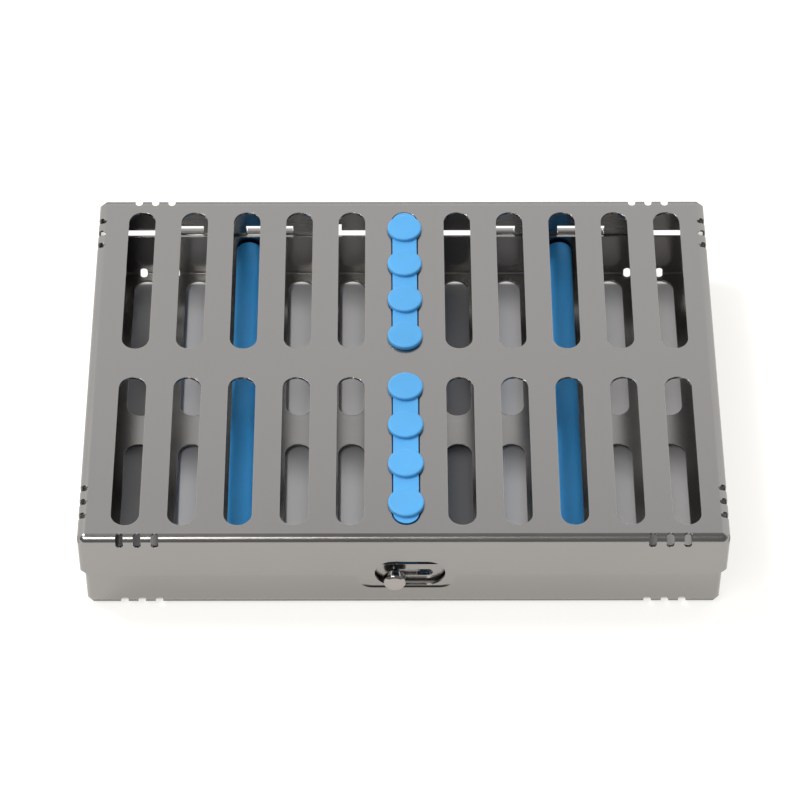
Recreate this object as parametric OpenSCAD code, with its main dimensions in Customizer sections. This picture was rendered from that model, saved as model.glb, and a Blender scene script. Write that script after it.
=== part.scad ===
// Perforated steel cassette that holds dental instruments through washing and sterilising.
// X runs along the cassette, Y from the latch at the front to the hinges at the rear, Z up.
// The origin is under the middle of the cassette, on the surface that it stands on.

/* [Trays] */
// Length of the lid over its side flanges
case_w = 203; // [180:1:220]
// Depth of the lid over its front and rear flanges
case_d = 146; // [142:1:160]
// Height of the sheet metal, from the floor's underside to the lid's top
case_h = 34.3; // [33.5:0.1:36]
// Thickness of the steel sheet
sheet_t = 0.8; // [0.6:0.1:1]
// Outer radius of the long bends
bend_r = 1.4; // [1.2:0.1:2]
// Outer radius of the lid's corners, seen from above
lid_corner_r = 1.6; // [1.2:0.1:3]
// Outer radius of the base's corners, seen from above
base_corner_r = 2.2; // [1.2:0.1:4]
// Height of the lid's front and side flanges
flange_h = 18.1; // [17:0.1:18.5]
// Height of the lid's rear flange
rear_flange_h = 14; // [13:0.1:14.4]
// Height of the base's front and side walls
wall_h = 19.7; // [19.5:0.1:21]
// Height of the base's rear wall
rear_wall_h = 18.9; // [17.5:0.1:19]
// Gap between the lid's side flanges and the base's side walls
side_gap = 0.4; // [0.3:0.1:0.8]

/* [Bends] */
// Width of the notches across the bends
notch_w = 2.4; // [2:0.1:3]
// Length of a notch on the flat side of its bend
notch_in = 2.6; // [2:0.1:3]
// Length of a notch down a flange of the lid
lid_notch_l = 4; // [3:0.1:5]
// Length of a notch up a wall of the base
base_notch_l = 3.2; // [2.5:0.1:4]
// Distance between notches
notch_pitch = 5.5; // [5:0.1:5.6]
// Distance from the middle of the cassette to the first notch along its length
notch_x = 77.4; // [70:0.1:77.4]
// Distance from the middle of the cassette to the first notch along its depth
notch_y = 52.3; // [48:0.1:52.3]
// Radius of the balls that cut the corners where the bends meet
corner_ball_r = 4.6; // [4:0.1:5]
// Distance of those balls beyond each of the three faces of the corner
corner_ball_out = 1.5; // [1.2:0.1:1.8]

/* [Perforations] */
// Number of slot columns
slot_columns = 11; // [7:2:11]
// Distance between slot columns
slot_pitch = 17.55; // [15:0.05:17.6]
// Width of a slot
slot_w = 8.9; // [7:0.1:9.5]
// Length of a slot
slot_len = 61; // [58:0.5:62]
// Distance from the middle of the cassette to the middle of a slot row
slot_row_y = 36.7; // [35.5:0.1:37]
// Shift of the slots along the cassette
slot_shift_x = 0.8; // [0:0.1:1]

/* [Silicone] */
// Column of the instrument rails, counted from the middle one
rail_column = 3; // [2:1:4]
// Width of a rail
rail_w = 8.6; // [7:0.1:10]
// Height of a rail above the floor's underside
rail_h = 17.5; // [12:0.5:18]
// Length of a rail
rail_len = 140; // [134:1:140]
// Diameter of the round buttons
button_d = 11.3; // [10.5:0.1:12]
// Thickness of the round buttons
button_h = 1.6; // [1.2:0.1:2]
// Distance between buttons
button_pitch = 16; // [14:0.1:16.2]
// Distance from the middle of the cassette to the nearest button
button_first_y = 11; // [9:0.1:11.2]
// Width of the silicone inside a slot
neck_w = 8; // [6:0.1:8.5]
// Width of a hold-down strip under the lid
hold_down_w = 12; // [11:0.5:14]
// Height of a hold-down strip under the lid
hold_down_h = 8.5; // [6:0.5:9]

/* [Hinges] */
// Middle of the left hinge
hinge_left_x = -51.2; // [-60:0.1:-45]
// Middle of the right hinge
hinge_right_x = 54.3; // [45:0.1:60]
// Length of a hinge
hinge_len = 57.5; // [50:0.1:60]
// Length of each of the lid's two knuckles
lid_knuckle_len = 14.4; // [12:0.1:15]
// Length of the base's knuckle at the left end of a hinge
end_knuckle_len = 12.5; // [10:0.1:14]
// Outer diameter of a knuckle
knuckle_d = 4.8; // [4.2:0.1:5]
// Height of the hinge axis above the floor's underside
hinge_axis_h = 16.3; // [15.5:0.1:17]
// Radial clearance between the pin and the lid's knuckles
pin_clearance = 0.05; // [0.02:0.01:0.1]
// Gap between two knuckles
knuckle_gap = 0.3; // [0.2:0.1:0.5]

/* [Latch] */
// Knob's place along the front, unlocked
knob_x = -2.8; // [-4:0.1:0]
// Travel of the knob to the locked end
latch_travel = 10.5; // [8:0.5:10.5]
// Diameter of the knob's head
knob_d = 7; // [6:0.1:7.5]
// Diameter of the knob's neck
neck_d = 2.8; // [2:0.1:3]
// Height of the knob's axis above the floor's underside
knob_z = 15.7; // [15:0.1:16.2]
// Width of the tongue
tongue_w = 30.8; // [29:0.2:32]
// Middle of the tongue
tongue_x = 0.8; // [0:0.1:2]
// Height of the tongue's lower edge above the floor's underside
tongue_z = 10; // [9.6:0.1:10.2]
// Radius of the tongue's two lower corners
tongue_corner_r = 5; // [4:0.1:5]
// Width of the tongue's window
window_w = 22.2; // [21:0.1:23]
// Height of the tongue's window
window_h = 11.7; // [11:0.1:12]
// Middle of the tongue's window
window_x = 2; // [1:0.1:2.5]
// Height of the rim under the tongue's window
tongue_rim = 1.4; // [1.2:0.1:1.8]

/* [Hidden] */
$fn = 48;
cut = 1;
steel = [0.72, 0.72, 0.7];
dark_steel = [0.5, 0.5, 0.5];
blue = [0.2, 0.6, 0.9];

floor_z = button_h;
top_z = floor_z + case_h;
base_w = case_w - 2 * (sheet_t + side_gap);
// Gap between the turning leaves and the base's rear wall
leaf_gap = 0.1;
// The base's rear wall stands inside the lid's rear flange, with room for the lid's hinge leaves between them
base_d = case_d - 2 * (2 * sheet_t + leaf_gap);
lid_back_y = case_d / 2;
base_back_y = base_d / 2;

knuckle_r = knuckle_d / 2;
bore_r = knuckle_r - sheet_t;
pin_r = bore_r - pin_clearance;
lid_leaf_y = base_back_y + leaf_gap;
hinge_y = lid_leaf_y + knuckle_r;
hinge_z = floor_z + hinge_axis_h;
// The lid's rear flange is cut away over each hinge
hinge_relief_h = 3;
hinge_side_room = 2;
leaf_top_z = top_z - rear_flange_h + hinge_relief_h;
// Places along a hinge, from its left end, where the knuckles of the lid and of the base start
lid_knuckle_starts = [end_knuckle_len + knuckle_gap, hinge_len - lid_knuckle_len];
middle_knuckle_x = end_knuckle_len + lid_knuckle_len + 2 * knuckle_gap;
middle_knuckle_len = lid_knuckle_starts[1] - knuckle_gap - middle_knuckle_x;
base_knuckles = [[0, end_knuckle_len], [middle_knuckle_x, middle_knuckle_len]];

front_y = -case_d / 2;
wall_front_y = -base_d / 2;
slot_clearance = 0.2;
wall_slot_h = neck_d + slot_clearance;
window_z = tongue_z + tongue_rim + window_h / 2;

// Rectangle with round corners, centred
module rounded_rect(w, d, r) {
    square([w - 2 * r, d], center = true);
    square([w, d - 2 * r], center = true);
    for (sx = [-1, 1], sy = [-1, 1])
        translate([sx * (w / 2 - r), sy * (d / 2 - r)])
            circle(r);
}

// Slot with round ends that runs along the second axis, centred
module obround(w, len) {
    square([w, len - w], center = true);
    for (s = [-1, 1])
        translate([0, s * (len - w) / 2])
            circle(d = w);
}

// Upright section with its two lower corners rounded
module folded_section(w, h, r) {
    translate([-w / 2, r])
        square([w, h - r]);
    translate([-w / 2 + r, 0])
        square([w - 2 * r, h]);
    for (s = [-1, 1])
        translate([s * (w / 2 - r), r])
            circle(r);
}

// Solid block with bends along its lower edges and rounded upright corners
module folded_block(w, d, h, bend, corner) {
    intersection() {
        linear_extrude(h)
            rounded_rect(w, d, corner);
        rotate([90, 0, 0])
            linear_extrude(d, center = true)
                folded_section(w, h, bend);
        rotate([90, 0, 90])
            linear_extrude(w, center = true)
                folded_section(d, h, bend);
    }
}

// Open tray of one sheet, floor down
module tray_blank(w, d, h, corner) {
    difference() {
        folded_block(w, d, h, bend_r, corner);
        translate([0, 0, sheet_t])
            folded_block(w - 2 * sheet_t, d - 2 * sheet_t, h, bend_r - sheet_t, corner - sheet_t);
    }
}

// Notch across a bend that runs along X: the flat sheet lies towards -Y and the upright one towards -Z
module bend_notch(upright_l) {
    r = notch_w / 2;
    translate([-r, r - notch_in, r - upright_l])
        cube([notch_w, notch_in - r + cut, upright_l - r + cut]);
    translate([0, r - notch_in, -sheet_t - cut])
        cylinder(r = r, h = sheet_t + 2 * cut);
    translate([0, cut, r - upright_l])
        rotate([90, 0, 0])
            cylinder(r = r, h = sheet_t + 2 * cut);
}

// Three notches near both ends of each of a tray's four bends
module bend_notches(w, d, upright_l) {
    for (i = [0:2], end = [-1, 1], turn = [0, 180]) {
        rotate([0, 0, turn])
            translate([end * (notch_x + i * notch_pitch), d / 2, 0])
                bend_notch(upright_l);
        rotate([0, 0, turn + 90])
            translate([end * (notch_y + i * notch_pitch), w / 2, 0])
                bend_notch(upright_l);
    }
}

// Balls that cut the four corners of a block whose upper face is at height 0
module corner_balls(w, d) {
    out = corner_ball_out;
    for (sx = [-1, 1], sy = [-1, 1])
        translate([sx * (w / 2 + out), sy * (d / 2 + out), out])
            sphere(corner_ball_r);
}

// Both rows of slots, cut through a sheet whose lower face is at height z
module perforations(z) {
    middle = (slot_columns - 1) / 2;
    translate([0, 0, z - cut])
        linear_extrude(sheet_t + 2 * cut)
            for (i = [-middle:middle], row = [-1, 1])
                translate([slot_shift_x + i * slot_pitch, row * slot_row_y])
                    obround(slot_w, slot_len);
}

// Outline of the tongue and its root, drawn in the plane of the front flange
module tongue_outline() {
    root_z = case_h - flange_h;
    fillet = 0.8;
    corner = tongue_corner_r;
    translate([tongue_x - tongue_w / 2, tongue_z + corner])
        square([tongue_w, root_z + cut - tongue_z - corner]);
    translate([tongue_x - tongue_w / 2 + corner, tongue_z])
        square([tongue_w - 2 * corner, corner + cut]);
    for (s = [-1, 1]) {
        translate([tongue_x + s * (tongue_w / 2 - corner), tongue_z + corner])
            circle(corner);
        difference() {
            translate([tongue_x + s * (tongue_w / 2 + fillet / 2), root_z - fillet / 2 + cut / 2])
                square([fillet, fillet + cut], center = true);
            translate([tongue_x + s * (tongue_w / 2 + fillet), root_z - fillet])
                circle(fillet);
        }
    }
}

// Window of the tongue, with the gap in its lower rim that lets the knob's neck in
module tongue_window() {
    gap_w = neck_d + 1.4;
    translate([window_x, window_z])
        rotate([0, 0, 90])
            obround(window_h, window_w);
    translate([knob_x - gap_w / 2, tongue_z - cut])
        square([gap_w, window_h / 2]);
}

// Extrudes an outline drawn in X and Z, from the plane y towards the rear
module from_front(y, depth) {
    translate([0, y + depth, 0])
        rotate([90, 0, 0])
            linear_extrude(depth)
                children();
}

module at_both_hinges() {
    for (x = [hinge_left_x, hinge_right_x])
        translate([x, 0, 0])
            children();
}

module base_tray() {
    color(steel)
        translate([0, 0, floor_z])
            difference() {
                tray_blank(base_w, base_d, wall_h, base_corner_r);
                perforations(0);
                translate([-base_w / 2 - cut, base_back_y - base_corner_r - cut, rear_wall_h])
                    cube([base_w + 2 * cut, base_corner_r + 2 * cut, wall_h]);
                mirror([0, 0, 1]) {
                    bend_notches(base_w, base_d, base_notch_l);
                    corner_balls(base_w, base_d);
                }
                from_front(wall_front_y - cut, sheet_t + 2 * cut)
                    translate([knob_x + latch_travel / 2, knob_z])
                        rotate([0, 0, 90])
                            obround(wall_slot_h, wall_slot_h + latch_travel);
            }
}

module lid_tray() {
    zone = hinge_len + 2 * hinge_side_room;
    rear_edge_z = top_z - rear_flange_h;
    rear_corner_l = 4;
    color(steel)
        difference() {
            union() {
                translate([0, 0, top_z])
                    mirror([0, 0, 1])
                        tray_blank(case_w, case_d, flange_h, lid_corner_r);
                translate([0, 0, floor_z])
                    from_front(front_y, sheet_t)
                        tongue_outline();
            }
            perforations(top_z - sheet_t);
            translate([0, 0, top_z]) {
                bend_notches(case_w, case_d, lid_notch_l);
                corner_balls(case_w, case_d);
            }
            translate([0, 0, top_z - flange_h])
                mirror([0, 0, 1])
                    corner_balls(case_w, case_d);
            translate([0, 0, floor_z])
                from_front(front_y - cut, sheet_t + 2 * cut)
                    tongue_window();
            translate([-case_w / 2 - cut, lid_back_y - rear_corner_l, 0])
                cube([case_w + 2 * cut, rear_corner_l + cut, rear_edge_z]);
            at_both_hinges()
                translate([-zone / 2, lid_back_y - sheet_t - cut, 0])
                    cube([zone, sheet_t + 2 * cut, rear_edge_z + hinge_relief_h]);
        }
}

// Round buttons of one slot, between the heights z and z + button_h
module buttons(row, z) {
    for (i = [0:3])
        translate([0, row * (button_first_y + i * button_pitch), z])
            cylinder(d = button_d, h = button_h);
}

// Silicone that fills one slot through the sheet
module slot_neck(row, z) {
    translate([0, row * slot_row_y, z])
        linear_extrude(sheet_t)
            obround(neck_w, slot_len - 1);
}

// Rail with a round top, held by two rows of buttons under the floor
module instrument_rail(column) {
    straight_h = rail_h - sheet_t - rail_w / 2;
    color(blue)
        translate([slot_shift_x + column * slot_pitch, 0, 0]) {
            for (row = [-1, 1]) {
                buttons(row, 0);
                slot_neck(row, floor_z);
            }
            translate([0, 0, floor_z + sheet_t])
                rotate([90, 0, 0])
                    linear_extrude(rail_len, center = true) {
                        translate([-rail_w / 2, 0])
                            square([rail_w, straight_h]);
                        translate([0, straight_h])
                            circle(d = rail_w);
                    }
        }
}

module instrument_rail_left() {
    instrument_rail(-rail_column);
}

module instrument_rail_right() {
    instrument_rail(rail_column);
}

// Strip under the lid, held by a row of buttons on top of it
module hold_down(row) {
    strip_z = top_z - sheet_t - hold_down_h;
    color(blue)
        translate([slot_shift_x, 0, 0]) {
            buttons(row, top_z);
            slot_neck(row, top_z - sheet_t);
            translate([0, row * slot_row_y, strip_z])
                linear_extrude(hold_down_h)
                    obround(hold_down_w, slot_len);
        }
}

module hold_down_rear() {
    hold_down(1);
}

module hold_down_front() {
    hold_down(-1);
}

// Rolled knuckle around the hinge axis, from the place x0 along it
module knuckle(x0, len) {
    translate([x0, hinge_y, hinge_z])
        rotate([0, 90, 0])
            cylinder(r = knuckle_r, h = len);
}

// Hole along the whole hinge axis
module knuckle_bore(r) {
    translate([-cut, hinge_y, hinge_z])
        rotate([0, 90, 0])
            cylinder(r = r, h = hinge_len + 2 * cut);
}

// Leaf inside the lid's rear flange, with two straps down to its knuckles
module hinge_lid_leaf(x) {
    leaf_h = 6.5;
    color(dark_steel)
        translate([x - hinge_len / 2, 0, 0])
            difference() {
                union() {
                    translate([0, lid_leaf_y, leaf_top_z])
                        cube([hinge_len, sheet_t, leaf_h]);
                    for (x0 = lid_knuckle_starts) {
                        translate([x0, lid_leaf_y, hinge_z])
                            cube([lid_knuckle_len, sheet_t, leaf_top_z + cut - hinge_z]);
                        knuckle(x0, lid_knuckle_len);
                    }
                }
                knuckle_bore(bore_r);
            }
}

// Leaf on the outside of the base's rear wall, with an end knuckle and a middle knuckle
module hinge_base_leaf(x) {
    leaf_h = 7.5;
    leaf_top = hinge_z - knuckle_r - 0.6;
    color(dark_steel)
        translate([x - hinge_len / 2, 0, 0])
            difference() {
                union() {
                    translate([0, base_back_y, leaf_top - leaf_h])
                        cube([hinge_len, sheet_t, leaf_h]);
                    for (k = base_knuckles) {
                        translate([k[0], base_back_y, leaf_top - cut])
                            cube([k[1], sheet_t + leaf_gap, hinge_z - leaf_top + cut]);
                        knuckle(k[0], k[1]);
                    }
                }
                knuckle_bore(pin_r);
            }
}

module hinge_pin(x) {
    color(steel)
        translate([x - hinge_len / 2, hinge_y, hinge_z])
            rotate([0, 90, 0])
                cylinder(r = pin_r, h = hinge_len);
}

module hinge_lid_leaf_left() {
    hinge_lid_leaf(hinge_left_x);
}

module hinge_base_leaf_left() {
    hinge_base_leaf(hinge_left_x);
}

module hinge_pin_left() {
    hinge_pin(hinge_left_x);
}

module hinge_lid_leaf_right() {
    hinge_lid_leaf(hinge_right_x);
}

module hinge_base_leaf_right() {
    hinge_base_leaf(hinge_right_x);
}

module hinge_pin_right() {
    hinge_pin(hinge_right_x);
}

plate_t = 1;
plate_y = wall_front_y + sheet_t + 0.1;
plate_half_w = 7.3;
plate_half_h = 3.2;
washer_t = 0.6;
head_back_y = front_y - 0.2;
head_face_y = -(hinge_y + knuckle_r);

// Turned knob: chamfered head, neck through the wall and a tail peened over the washer
module latch_knob() {
    chamfer = 0.7;
    head_l = head_back_y - head_face_y;
    neck_l = plate_y + plate_t + washer_t - head_back_y;
    color(steel)
        translate([knob_x, head_face_y, floor_z + knob_z])
            rotate([-90, 0, 0]) {
                cylinder(d1 = knob_d - 2 * chamfer, d2 = knob_d, h = chamfer);
                translate([0, 0, chamfer])
                    cylinder(d = knob_d, h = head_l - chamfer);
                translate([0, 0, head_l - 0.2])
                    cylinder(d = neck_d, h = neck_l + 0.2);
            }
}

// Plate behind the front wall that the neck is fixed to
module latch_slide_plate() {
    color(dark_steel)
        difference() {
            translate([0, 0, floor_z])
                from_front(plate_y, plate_t)
                    translate([knob_x, knob_z])
                        rounded_rect(2 * plate_half_w, 2 * plate_half_h, 1.2);
            translate([knob_x, plate_y - cut, floor_z + knob_z])
                rotate([-90, 0, 0])
                    cylinder(d = neck_d, h = plate_t + 2 * cut);
        }
}

module latch_washer() {
    washer_d = 5;
    color(steel)
        translate([knob_x, plate_y + plate_t, floor_z + knob_z])
            rotate([-90, 0, 0])
                difference() {
                    cylinder(d = washer_d, h = washer_t);
                    translate([0, 0, -cut])
                        cylinder(d = neck_d, h = washer_t + 2 * cut);
                }
}

// Guide welded behind the front wall, with a channel for the plate and a slot for the washer
module latch_guide() {
    room = 0.15;
    lip = 3;
    guide_t = 0.6;
    channel_d = plate_t + 0.1 + room;
    guide_y = wall_front_y + sheet_t;
    channel_w = 2 * plate_half_w + latch_travel + 2 * room;
    channel_h = 2 * plate_half_h + 2 * room;
    washer_slot_h = 5.6;
    color(dark_steel)
        translate([0, 0, floor_z])
            difference() {
                from_front(guide_y, channel_d + guide_t)
                    translate([knob_x + latch_travel / 2, knob_z])
                        rounded_rect(channel_w + 2 * lip, channel_h + 2 * guide_t, 1.5);
                from_front(guide_y - cut, channel_d + cut)
                    translate([knob_x + latch_travel / 2, knob_z])
                        square([channel_w, channel_h], center = true);
                from_front(guide_y, channel_d + guide_t + cut)
                    translate([knob_x + latch_travel / 2, knob_z])
                        rotate([0, 0, 90])
                            obround(washer_slot_h, washer_slot_h + latch_travel);
            }
}

base_tray();
lid_tray();
instrument_rail_left();
instrument_rail_right();
hold_down_rear();
hold_down_front();
hinge_lid_leaf_left();
hinge_base_leaf_left();
hinge_pin_left();
hinge_lid_leaf_right();
hinge_base_leaf_right();
hinge_pin_right();
latch_knob();
latch_slide_plate();
latch_washer();
latch_guide();
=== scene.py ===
import math

import bmesh
import bpy
from mathutils import Matrix, Vector


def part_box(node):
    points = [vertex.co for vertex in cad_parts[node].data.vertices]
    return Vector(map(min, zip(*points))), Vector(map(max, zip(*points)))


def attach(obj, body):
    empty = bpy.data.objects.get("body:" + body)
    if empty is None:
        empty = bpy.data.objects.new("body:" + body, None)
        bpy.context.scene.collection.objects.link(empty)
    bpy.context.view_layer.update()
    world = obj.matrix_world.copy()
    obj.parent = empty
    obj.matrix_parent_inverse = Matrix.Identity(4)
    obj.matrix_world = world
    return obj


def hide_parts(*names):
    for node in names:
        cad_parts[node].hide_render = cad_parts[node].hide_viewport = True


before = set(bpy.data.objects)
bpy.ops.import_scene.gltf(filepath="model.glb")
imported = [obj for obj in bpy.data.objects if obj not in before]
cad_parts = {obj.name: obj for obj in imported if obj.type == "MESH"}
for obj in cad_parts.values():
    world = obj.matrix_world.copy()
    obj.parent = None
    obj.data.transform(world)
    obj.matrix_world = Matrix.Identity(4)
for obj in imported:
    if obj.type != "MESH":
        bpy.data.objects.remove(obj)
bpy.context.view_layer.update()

MM = 0.001

# Camera, as the photograph was taken
IMAGE_WIDTH = 807
FOCAL_PIXELS = 3539.07
SENSOR_WIDTH = 36.0
CAMERA_AZIMUTH = 0.493
CAMERA_ELEVATION = 49.255
CAMERA_ROLL = 0.311
CAMERA_DISTANCE = 1158.7 * MM
CAMERA_AIM = Vector((0.28, -0.16, 17.6)) * MM
CAMERA_CLIP_START = 0.01

# Soft boxes: place in metres, size and power
KEY_PLACE = (-0.75, 0.33, 1.5)
KEY_SIZE = (0.45, 0.45)
KEY_POWER = 15.5
OVERHEAD_PLACE = (-0.59, -0.9, 1.5)
OVERHEAD_SIZE = (1.0, 0.5)
OVERHEAD_POWER = 13.5

# Room round the table: colours, and where they end on the unit sphere
REAR_WALL_LIGHT = (1.14, 1.14, 1.16)
FRONT_LIGHT = (0.262, 0.262, 0.266)
CEILING_LIGHT = (0.3, 0.3, 0.31)
REAR_WALL_TOP = 0.765
CEILING_START = 0.86
REAR_WALL_Y = 0.2
FRONT_Y = -0.1

# Table, which glows outside the cassette's footprint
FLOOR_HALF = 4.0
FLOOR_GLOW = 0.77
GLOW_TINT = (1, 0.985, 0.95, 1)
TABLE_UNDER_CASSETTE = (0.5, 0.485, 0.48)
TABLE_OUTSIDE = (0.34, 0.34, 0.34)
GLOW_INSET = 2.5 * MM
GLOW_FADE = 1.5 * MM

# Finish of the steel
SHEET_TONE = (0.312, 0.302, 0.288)
SHEET_ROUGHNESS = 0.21
HINGE_ROUGHNESS = 0.26
TURNED_TONE = (0.375, 0.345, 0.325)
TURNED_ROUGHNESS = 0.15
LOOK_OF_BEND_R = 2.6 * MM

# Outline of the tongue on the front of the lid, and the painted shadow line along its lower edge
TONGUE_MIDDLE_X = 0.8 * MM
TONGUE_HALF_W = 15.4 * MM
TONGUE_CORNER_R = 5.0 * MM
TONGUE_LOW_Z = 11.6 * MM
TONGUE_FRONT_Y = (-72.0 * MM, -72.4 * MM)
TONGUE_SHADOW_INSETS = (1.4 * MM, 1.0 * MM)

# Colours of the silicone
HOLD_DOWN_BLUE = (0.085, 0.37, 0.72)
# Painted light: the rails' blue is lighter than the hold-downs', making up for light that the
# shaded inside of the base doesn't get.
RAIL_BLUE_WITH_PAINTED_LIGHT = (0.06, 0.45, 0.98)

# Sizes of the new pieces, in millimetres; profiles are (inset or radius, distance) pairs
SHEET_T = 0.8
BUTTON_R = 5.65
BUTTON_H = 1.6
BUTTON_FIRST_Y = 11
BUTTON_PITCH = 16
BUTTONS_PER_SLOT = 4
BUTTON_FOOT = ((0.12, 0), (0, 0.12), (0, 1.16), (0.05, 1.32))
BUTTON_CROWN = ((0.16, 1.46), (0.32, 1.55), (0.55, 1.595), (0.8, BUTTON_H))
NECK_W = 8
NECK_SINK = 0.3
SLOT_LENGTH = 61
SLOT_ROW_Y = 36.7
HOLD_DOWN_W = 12
HOLD_DOWN_ROUNDING = ((1.4, 0), (0.85, 0.12), (0.41, 0.41), (0.12, 0.85), (0, 1.4))
RAIL_HALF_W = 4.3
RAIL_END = ((0.9, 0), (0.5, 0.12), (0.2, 0.35), (0.05, 0.65), (0, 1.0))
KNOB_FACE = ((1.5, 0.1), (2.3, 0.07), (2.6, 0.0), (2.78, 0.0))
KNOB_CHAMFER = ((2.9, 0.05), (3.38, 0.52), (3.47, 0.66), (3.5, 0.85))
KNOB_BACK = ((3.5, 2.75), (3.46, 2.9), (3.35, 3.0))
KNOB_NECK = ((1.65, 3.0), (1.48, 3.06), (1.4, 3.25))
KNOB_TAIL = ((1.4, 0.5), (1.8, 0.4), (1.9, 0.25), (1.7, 0.08), (1.2, 0))
WELD_PROFILE = ((1.7, 0.0), (1.55, 0.05), (1.3, 0.06), (1.1, 0.03), (0.4, 0.015))
WELD_SINK = 0.02
WELD_PITCH = 21
WELD_OVER_BASE_LEAF_FOOT = 3.6
LID_WELD_Z = 28.0


class Graph:
    """Short calls for the nodes of one material."""

    def __init__(self, name):
        self.material = bpy.data.materials.new(name)
        self.material.use_nodes = True
        self.tree = self.material.node_tree
        self.shader = self.tree.nodes["Principled BSDF"]

    def node(self, kind, **settings):
        made = self.tree.nodes.new(kind)
        for key, value in settings.items():
            setattr(made, key, value)
        return made

    def link(self, source, target):
        self.tree.links.new(source, target)

    def set(self, **values):
        for key, value in values.items():
            self.shader.inputs[key.replace("_", " ")].default_value = value

    def shade(self, name, source):
        """Links a socket to one of the shader's inputs."""
        self.link(source, self.shader.inputs[name])

    def place(self):
        """X, Y and Z of the point, each as a socket."""
        coordinates = self.node("ShaderNodeTexCoord")
        split = self.node("ShaderNodeSeparateXYZ")
        self.link(coordinates.outputs["Object"], split.inputs["Vector"])
        return split.outputs["X"], split.outputs["Y"], split.outputs["Z"]

    def noise(self, scale, detail):
        """Noise in object coordinates, stretched by scale along X, Y and Z."""
        place = self.node("ShaderNodeTexCoord")
        mapping = self.node("ShaderNodeMapping")
        mapping.inputs["Scale"].default_value = scale
        self.link(place.outputs["Object"], mapping.inputs["Vector"])
        made = self.node("ShaderNodeTexNoise")
        made.inputs["Scale"].default_value = 1.0
        made.inputs["Detail"].default_value = detail
        made.inputs["Roughness"].default_value = 0.55
        self.link(mapping.outputs["Vector"], made.inputs["Vector"])
        return made.outputs["Fac"]

    def remap(self, value, low, high, to_low=0.0, to_high=1.0):
        made = self.node("ShaderNodeMapRange")
        self.link(value, made.inputs["Value"])
        ranges = {"From Min": low, "From Max": high, "To Min": to_low, "To Max": to_high}
        for key, number in ranges.items():
            made.inputs[key].default_value = number
        return made.outputs["Result"]

    def clouds_to(self, clouds, low, high):
        """Spreads the middle of a noise over a range."""
        return self.remap(clouds, 0.3, 0.7, low, high)

    def math(self, operation, first, second=0.0):
        made = self.node("ShaderNodeMath", operation=operation)
        for socket, value in zip(made.inputs, (first, second)):
            if isinstance(value, (int, float)):
                socket.default_value = value
            else:
                self.link(value, socket)
        return made.outputs["Value"]

    def past(self, value, limit):
        """How far a value lies past a limit, and zero short of it."""
        return self.math("MAXIMUM", self.math("SUBTRACT", value, limit), 0.0)

    def product(self, first, *others):
        made = first
        for other in others:
            made = self.math("MULTIPLY", made, other)
        return made

    def blend(self, factor, first, second):
        """Mix of two colours, each a socket or three numbers."""
        made = self.node("ShaderNodeMix", data_type="RGBA")
        self.link(factor, made.inputs["Factor"])
        for socket, value in ((made.inputs[6], first), (made.inputs[7], second)):
            if isinstance(value, tuple):
                socket.default_value = (*value, 1.0)
            else:
                self.link(value, socket)
        return made.outputs[2]

    def blend_normals(self, factor, first, second):
        made = self.node("ShaderNodeMix", data_type="VECTOR")
        self.link(factor, made.inputs["Factor"])
        self.link(first, made.inputs[4])
        self.link(second, made.inputs[5])
        return made.outputs[1]

    def dot_with_surface(self, normal):
        geometry = self.node("ShaderNodeNewGeometry")
        dot = self.node("ShaderNodeVectorMath", operation="DOT_PRODUCT")
        self.link(normal, dot.inputs[0])
        self.link(geometry.outputs["Normal"], dot.inputs[1])
        return dot.outputs["Value"]

    def object_normal(self, x, y, z):
        """Normal given along the object's axes, turned with the object."""
        local = self.node("ShaderNodeCombineXYZ")
        for name, value in (("X", x), ("Y", y), ("Z", z)):
            self.link(value, local.inputs[name])
        spaces = {"convert_from": "OBJECT", "convert_to": "WORLD"}
        turned = self.node("ShaderNodeVectorTransform", vector_type="NORMAL", **spaces)
        self.link(local.outputs["Vector"], turned.inputs["Vector"])
        return turned.outputs["Vector"]

    def bevel(self, radius):
        made = self.node("ShaderNodeBevel", samples=6)
        made.inputs["Radius"].default_value = radius
        return made.outputs["Normal"]

    def edge_mask(self, radius):
        """One along the edges, zero on flat faces."""
        return self.remap(self.dot_with_surface(self.bevel(radius)), 0.995, 0.86)

    def crevice(self, distance, open_sky, shut):
        """One where nearby surfaces shut a point in, zero where it lies open."""
        made = self.node("ShaderNodeAmbientOcclusion", samples=10)
        made.inputs["Distance"].default_value = distance
        return self.remap(made.outputs["AO"], open_sky, shut)

    def bump(self, height, distance, strength, normal):
        made = self.node("ShaderNodeBump")
        made.inputs["Distance"].default_value = distance
        made.inputs["Strength"].default_value = strength
        self.link(height, made.inputs["Height"])
        self.link(normal, made.inputs["Normal"])
        self.shade("Normal", made.outputs["Normal"])


def scaled(tone, factor):
    return tuple(min(1.0, factor * c) for c in tone)


def soft_bends(g, sharp, half_w, half_d, outer_z, inward):
    """Rolls the long bends over a wider radius; inward is the way from outer_z to the walls."""
    radius = LOOK_OF_BEND_R
    x, y, z = g.place()
    past_x = g.past(g.math("ABSOLUTE", x), half_w - radius)
    past_y = g.past(g.math("ABSOLUTE", y), half_d - radius)
    outward_z = g.product(g.math("SUBTRACT", z, outer_z + inward * radius), -inward)
    past_z = g.math("MAXIMUM", outward_z, 0.0)
    across = g.product(past_x, g.math("SIGN", x))
    along = g.product(past_y, g.math("SIGN", y))
    rolled = g.object_normal(across, along, g.product(past_z, -inward))
    outer_side = g.remap(g.dot_with_surface(rolled), 0.3, 0.6)
    zone = g.math("MINIMUM", g.math("MAXIMUM", past_x, past_y), past_z)
    in_zone = g.remap(zone, 0.0, 0.02 * MM)
    return g.blend_normals(g.product(outer_side, in_zone), sharp, rolled)


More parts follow.
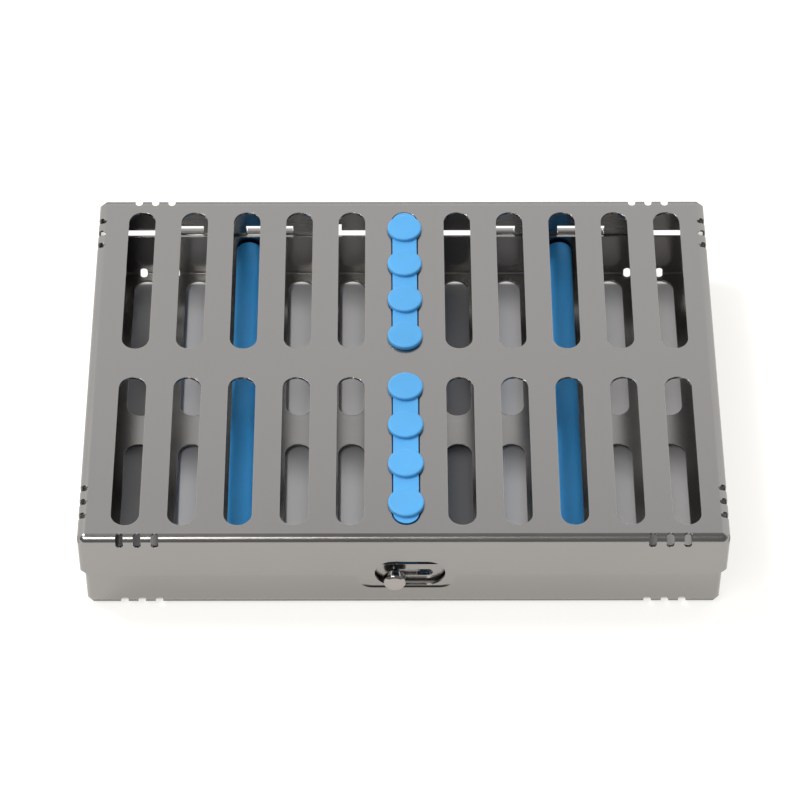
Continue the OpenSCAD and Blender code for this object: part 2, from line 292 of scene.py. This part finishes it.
def tongue_shadow_line(g):
    """One along the lower edge of the tongue, where a shadow line is painted."""
    x, y, z = g.place()
    from_middle = g.math("ABSOLUTE", g.math("SUBTRACT", x, TONGUE_MIDDLE_X))
    past_x = g.past(from_middle, TONGUE_HALF_W - TONGUE_CORNER_R)
    below = g.math("SUBTRACT", TONGUE_LOW_Z + TONGUE_CORNER_R, z)
    past_z = g.math("MAXIMUM", below, 0.0)
    squares = g.math("ADD", g.product(past_x, past_x), g.product(past_z, past_z))
    start, full = (TONGUE_CORNER_R - inset for inset in TONGUE_SHADOW_INSETS)
    edge = g.remap(g.math("SQRT", squares), start, full)
    low = g.remap(past_z, 0.6 * TONGUE_CORNER_R, 0.8 * TONGUE_CORNER_R)
    return g.product(edge, low, g.remap(y, *TONGUE_FRONT_Y))


def steel_colour(g, tone, clouds, wear_and_highlight, tongue):
    """Cloudy tone, edges paler from rubbed wear and a painted highlight, painted shade in crevices
    and a painted shadow line on the tongue.
    """
    # Painted shade: the steel darkens to 0.3 of its tone where nearby surfaces shut it in.
    crevice_shade = g.crevice(2.6 * MM, 0.72, 0.25)
    colour = g.blend(g.clouds_to(clouds, 0.0, 1.0), scaled(tone, 0.95), tone)
    # Edges paler: partly rubbed wear, partly a painted highlight.
    colour = g.blend(wear_and_highlight, colour, scaled(tone, 1.2))
    colour = g.blend(crevice_shade, colour, scaled(tone, 0.3))
    # Painted shadow: a near-black line along the tongue's lower edge.
    if tongue:
        colour = g.blend(tongue_shadow_line(g), colour, scaled(tone, 0.05))
    g.shade("Base Color", colour)


def steel(name, tone, roughness, bends=None, tongue=False):
    """Satin stainless sheet: faint grain, cloudy polish, paler edges from rubbed wear and a
    painted highlight, and painted shade in crevices.
    """
    g = Graph(name)
    g.set(Metallic=1.0)
    grain = g.noise((90, 3200, 3200), 2.0)
    pits = g.noise((2400, 2400, 2400), 2.0)
    clouds = g.noise((16, 16, 16), 5.0)
    wear_and_highlight = g.edge_mask(0.3 * MM)
    steel_colour(g, tone, clouds, wear_and_highlight, tongue)
    spread = g.math("ADD", g.clouds_to(grain, -0.015, 0.015), g.clouds_to(clouds, -0.03, 0.03))
    polished = g.product(wear_and_highlight, -0.05)
    g.shade("Roughness", g.math("ADD", g.math("ADD", spread, polished), roughness))
    normal = g.bevel(0.2 * MM)
    if bends:
        normal = soft_bends(g, normal, *bends)
    g.bump(g.math("ADD", grain, pits), 0.004 * MM, 0.18, normal)
    return g.material


def silicone(name, tone):
    """Moulded silicone rubber: satin skin, faint mould marks, lighter rubbed edges and painted
    shade in crevices.
    """
    g = Graph(name)
    g.set(Metallic=0.0, IOR=1.41, Subsurface_Weight=0.12, Subsurface_Scale=1.2 * MM)
    skin = g.noise((900, 900, 900), 3.0)
    clouds = g.noise((40, 40, 40), 4.0)
    chalky = tuple(min(1.0, 1.05 * c + 0.03) for c in tone)
    shade = (0.05 * tone[0], 0.34 * tone[1], 0.5 * tone[2])
    colour = g.blend(g.clouds_to(clouds, 0.0, 1.0), scaled(tone, 0.88), tone)
    colour = g.blend(g.edge_mask(0.5 * MM), colour, chalky)
    # Painted shade: a deeper, darker blue where nearby surfaces shut the silicone in.
    colour = g.blend(g.crevice(2.2 * MM, 0.8, 0.3), colour, shade)
    g.shade("Base Color", colour)
    g.shade("Roughness", g.clouds_to(clouds, 0.42, 0.55))
    g.bump(skin, 0.02 * MM, 0.3, g.bevel(0.2 * MM))
    return g.material


def circle(radius, x, y, count=64):
    turns = [2 * math.pi * i / count for i in range(count)]
    return [(x + radius * math.cos(a), y + radius * math.sin(a)) for a in turns]


def obround(width, length, x, y, count=24):
    """Outline of a slot with round ends that runs along Y."""
    r = width / 2
    straight = length / 2 - r
    points = []
    for side, first in ((1, 0), (-1, math.pi)):
        for i in range(count + 1):
            a = first + math.pi * i / count
            points.append((x + r * math.cos(a), y + side * straight + r * math.sin(a)))
    return points


def loft(bm, rings):
    """Closed skin over rings of points, in millimetres."""
    loops = [[bm.verts.new(Vector(p) * MM) for p in ring] for ring in rings]
    for low, high in zip(loops, loops[1:]):
        for i in range(len(low)):
            j = (i + 1) % len(low)
            bm.faces.new((low[i], low[j], high[j], high[i]))
    bm.faces.new(reversed(loops[0]))
    bm.faces.new(loops[-1])


def stack(bm, outline, steps):
    """Lofts an outline upwards; each step is an inset and a height."""
    loft(bm, [[(x, y, z) for x, y in outline(inset)] for inset, z in steps])


def turn(bm, x, z, steps, count=64):
    """Lofts circles round an axis along Y; each step is a radius and a Y."""
    loft(bm, [[(px, y, pz) for px, pz in circle(r, x, z, count)] for r, y in steps])


def finish_piece(bm, name, material, body, slot, *nodes):
    """Makes the piece, hangs it on its body and takes the place of its CAD nodes."""
    bmesh.ops.recalc_face_normals(bm, faces=bm.faces)
    mesh = bpy.data.meshes.new(name)
    bm.to_mesh(mesh)
    bm.free()
    mesh.polygons.foreach_set("use_smooth", [True] * len(mesh.polygons))
    mesh.set_sharp_from_angle(angle=math.radians(40))
    mesh.materials.append(material)
    piece = bpy.data.objects.new(name, mesh)
    bpy.context.scene.collection.objects.link(piece)
    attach(piece, body)
    if nodes:
        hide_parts(*nodes)


def box_mm(node):
    low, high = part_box(node)
    return Vector(low) / MM, Vector(high) / MM


def buttons(bm, x, row, sheet_z, way):
    """Round buttons of one slot; way is +1 above a sheet and -1 below it."""
    steps = [(inset, sheet_z + way * z) for inset, z in BUTTON_FOOT + BUTTON_CROWN]
    for i in range(BUTTONS_PER_SLOT):
        y = row * (BUTTON_FIRST_Y + i * BUTTON_PITCH)
        stack(bm, lambda inset: circle(BUTTON_R - inset, x, y), steps)


def neck(bm, x, row, sheet_z):
    """Silicone inside one slot, sunk a little into what lies above and below it."""
    steps = [(0, sheet_z - NECK_SINK), (0, sheet_z + SHEET_T + NECK_SINK)]
    stack(bm, lambda inset: obround(NECK_W, SLOT_LENGTH - 1, x, row * SLOT_ROW_Y), steps)


def hold_down(name, row, material):
    """Strip with rounded edges under the lid and its row of buttons on top."""
    low, high = box_mm(name)
    x = (low.x + high.x) / 2
    y = row * SLOT_ROW_Y
    lid_top = high.z - BUTTON_H
    strip_top = lid_top - SHEET_T
    bm = bmesh.new()
    buttons(bm, x, row, lid_top, 1)
    neck(bm, x, row, strip_top)
    steps = [(inset, low.z + z) for inset, z in HOLD_DOWN_ROUNDING]
    steps += [(0, strip_top - 0.2), (0.15, strip_top)]
    stack(bm, lambda inset: obround(HOLD_DOWN_W - 2 * inset, SLOT_LENGTH - 2 * inset, x, y), steps)
    finish_piece(bm, name + "_moulding", material, "lid", "silicone", name)


def rail_section(x, floor, crown, inset, count=24):
    """Outline of a rail across its length, with a round top."""
    r = RAIL_HALF_W - inset
    points = [(x + r, floor + inset)]
    for i in range(count + 1):
        a = math.pi * i / count
        points.append((x + r * math.cos(a), crown - RAIL_HALF_W + r * math.sin(a)))
    points.append((x - r, floor + inset))
    return points


def rail(name, material):
    """Instrument rail with rounded ends, held by two rows of buttons under the base."""
    low, high = box_mm(name)
    x = (low.x + high.x) / 2
    floor = BUTTON_H + SHEET_T
    bm = bmesh.new()
    for row in (-1, 1):
        buttons(bm, x, row, BUTTON_H, -1)
        neck(bm, x, row, BUTTON_H)
    steps = [(low.y + along, inset) for inset, along in RAIL_END]
    steps += [(high.y - along, inset) for inset, along in reversed(RAIL_END)]
    rings = []
    for y, inset in steps:
        rings.append([(px, y, pz) for px, pz in rail_section(x, floor, high.z, inset)])
    loft(bm, rings)
    finish_piece(bm, name + "_moulding", material, "base", "silicone", name)


def knob(material):
    """Turned knob: dished face, chamfered head, filleted neck and a peened tail."""
    low, high = box_mm("latch_knob")
    head = KNOB_FACE + KNOB_CHAMFER + KNOB_BACK + KNOB_NECK
    steps = [(r, low.y + y) for r, y in head]
    steps += [(r, high.y - y) for r, y in KNOB_TAIL]
    bm = bmesh.new()
    turn(bm, (low.x + high.x) / 2, (low.z + high.z) / 2, steps)
    finish_piece(bm, "latch_knob_turned", material, "latch", "bright_steel", "latch_knob")


def spot_welds(side, material):
    """Rings that spot welding left over one hinge, three to a leaf."""
    leaf_low, leaf_high = box_mm("hinge_base_leaf_" + side)
    middle = (leaf_low.x + leaf_high.x) / 2
    base_y = box_mm("base_tray")[1].y + SHEET_T
    lid_y = box_mm("lid_tray")[1].y
    base_z = leaf_low.z + WELD_OVER_BASE_LEAF_FOOT
    for body, y, z in (("base", base_y, base_z), ("lid", lid_y, LID_WELD_Z)):
        steps = [(r, y + out - WELD_SINK) for r, out in WELD_PROFILE]
        bm = bmesh.new()
        for x in (middle - WELD_PITCH, middle, middle + WELD_PITCH):
            turn(bm, x, z, steps, 32)
        finish_piece(bm, "spot_welds_" + body + "_" + side, material, body, "steel")


def dress(node, material):
    """Gives one CAD node its finish."""
    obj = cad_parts[node]
    obj.data.materials.clear()
    obj.data.materials.append(material)


def dress_trays():
    lid_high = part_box("lid_tray")[1]
    base_low, base_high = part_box("base_tray")
    lid_bends = (lid_high[0], lid_high[1], lid_high[2], -1)
    base_bends = (base_high[0], base_high[1], base_low[2], 1)
    dress("lid_tray", steel("lid_sheet", SHEET_TONE, SHEET_ROUGHNESS, lid_bends, tongue=True))
    dress("base_tray", steel("base_sheet", SHEET_TONE, SHEET_ROUGHNESS, base_bends))


def dress_fittings():
    hinge = steel("hinge_sheet", SHEET_TONE, HINGE_ROUGHNESS)
    turned = steel("turned_steel", TURNED_TONE, TURNED_ROUGHNESS)
    pale_blue = silicone("hold_down_silicone", HOLD_DOWN_BLUE)
    # Rail silicone in a lighter blue that paints in light the rails don't get inside the base.
    rail_blue_with_painted_light = silicone("rail_silicone", RAIL_BLUE_WITH_PAINTED_LIGHT)
    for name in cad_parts:
        if name.startswith("hold_down"):
            hold_down(name, 1 if name.endswith("rear") else -1, pale_blue)
        elif name.startswith("instrument_rail"):
            rail(name, rail_blue_with_painted_light)
        elif name == "latch_knob":
            knob(turned)
        elif name == "latch_washer" or name.startswith("hinge_pin"):
            dress(name, turned)
        elif not name.endswith("_tray"):
            dress(name, hinge)
    for side in ("left", "right"):
        spot_welds(side, hinge)


def photo_camera():
    """Camera at the photograph's angle, distance and lens."""
    azimuth = math.radians(CAMERA_AZIMUTH)
    elevation = math.radians(CAMERA_ELEVATION)
    roll = math.radians(CAMERA_ROLL)
    level = Vector((math.sin(azimuth), math.cos(azimuth), 0))
    forward = level * math.cos(elevation) - Vector((0, 0, math.sin(elevation)))
    right = Vector((math.cos(azimuth), -math.sin(azimuth), 0))
    up = right.cross(forward)
    tilted_right = right * math.cos(roll) + up * math.sin(roll)
    tilted_up = up * math.cos(roll) - right * math.sin(roll)
    data = bpy.data.cameras.new("photo_camera")
    data.sensor_fit = "HORIZONTAL"
    data.sensor_width = SENSOR_WIDTH
    data.lens = FOCAL_PIXELS / IMAGE_WIDTH * SENSOR_WIDTH
    data.clip_start = CAMERA_CLIP_START
    camera = bpy.data.objects.new("photo_camera", data)
    bpy.context.scene.collection.objects.link(camera)
    stance = Matrix((tilted_right, tilted_up, -forward)).transposed().to_4x4()
    camera.matrix_world = Matrix.Translation(CAMERA_AIM - forward * CAMERA_DISTANCE) @ stance
    bpy.context.scene.camera = camera


def softbox(name, place, size, power):
    """Rectangular lamp that looks at the middle of the table."""
    data = bpy.data.lights.new(name, "AREA")
    data.shape = "RECTANGLE"
    data.size, data.size_y = size
    data.energy = power
    light = bpy.data.objects.new(name, data)
    bpy.context.scene.collection.objects.link(light)
    light.location = place
    light.rotation_euler = (-Vector(place)).to_track_quat("-Z", "Y").to_euler()


def floor_material():
    """White table, lit from below as a light table is, but not under the cassette."""
    g = Graph("pale_floor")
    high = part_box("base_tray")[1]
    edge_x = high[0] - GLOW_INSET
    edge_y = high[1] - GLOW_INSET
    x, y, z = g.place()
    past_x = g.remap(g.math("ABSOLUTE", x), edge_x - GLOW_FADE, edge_x)
    past_y = g.remap(g.math("ABSOLUTE", y), edge_y - GLOW_FADE, edge_y)
    outside = g.math("MAXIMUM", past_x, past_y)
    g.set(Roughness=0.9, Emission_Color=GLOW_TINT)
    g.shade("Base Color", g.blend(outside, TABLE_UNDER_CASSETTE, TABLE_OUTSIDE))
    g.shade("Emission Strength", g.product(outside, FLOOR_GLOW))
    return g.material


def pale_floor():
    half = FLOOR_HALF
    mesh = bpy.data.meshes.new("floor")
    corners = [(-half, -half, 0), (half, -half, 0), (half, half, 0), (-half, half, 0)]
    mesh.from_pydata(corners, [], [(0, 1, 2, 3)])
    mesh.materials.append(floor_material())
    floor = bpy.data.objects.new("floor", mesh)
    bpy.context.scene.collection.objects.link(floor)


def colour_by_height(ramp):
    """Rear wall up to its top, then the ceiling."""
    stops = (
        (0.0, REAR_WALL_LIGHT),
        (REAR_WALL_TOP, REAR_WALL_LIGHT),
        (CEILING_START, CEILING_LIGHT),
        (1.0, CEILING_LIGHT),
    )
    elements = ramp.color_ramp.elements
    while len(elements) < len(stops):
        elements.new(0.5)
    for element, (position, colour) in zip(elements, stops):
        element.position = position
        element.color = (*colour, 1)


def surroundings():
    """Pale wall behind the table, a dim room in front of it and a dim ceiling."""
    world = bpy.data.worlds.new("studio")
    bpy.context.scene.world = world
    world.use_nodes = True
    nodes = world.node_tree.nodes
    links = world.node_tree.links
    place = nodes.new("ShaderNodeTexCoord")
    split = nodes.new("ShaderNodeSeparateXYZ")
    ramp = nodes.new("ShaderNodeValToRGB")
    front = nodes.new("ShaderNodeMapRange")
    mix = nodes.new("ShaderNodeMix")
    mix.data_type = "RGBA"
    links.new(place.outputs["Generated"], split.inputs["Vector"])
    links.new(split.outputs["Z"], ramp.inputs["Fac"])
    links.new(split.outputs["Y"], front.inputs["Value"])
    front.inputs["From Min"].default_value = REAR_WALL_Y
    front.inputs["From Max"].default_value = FRONT_Y
    links.new(front.outputs["Result"], mix.inputs["Factor"])
    links.new(ramp.outputs["Color"], mix.inputs[6])
    mix.inputs[7].default_value = (*FRONT_LIGHT, 1)
    links.new(mix.outputs[2], nodes["Background"].inputs["Color"])
    colour_by_height(ramp)


def studio():
    pale_floor()
    surroundings()
    softbox("key", KEY_PLACE, KEY_SIZE, KEY_POWER)
    softbox("overhead", OVERHEAD_PLACE, OVERHEAD_SIZE, OVERHEAD_POWER)
    bpy.context.scene.view_settings.view_transform = "Standard"


photo_camera()
studio()
dress_trays()
dress_fittings()
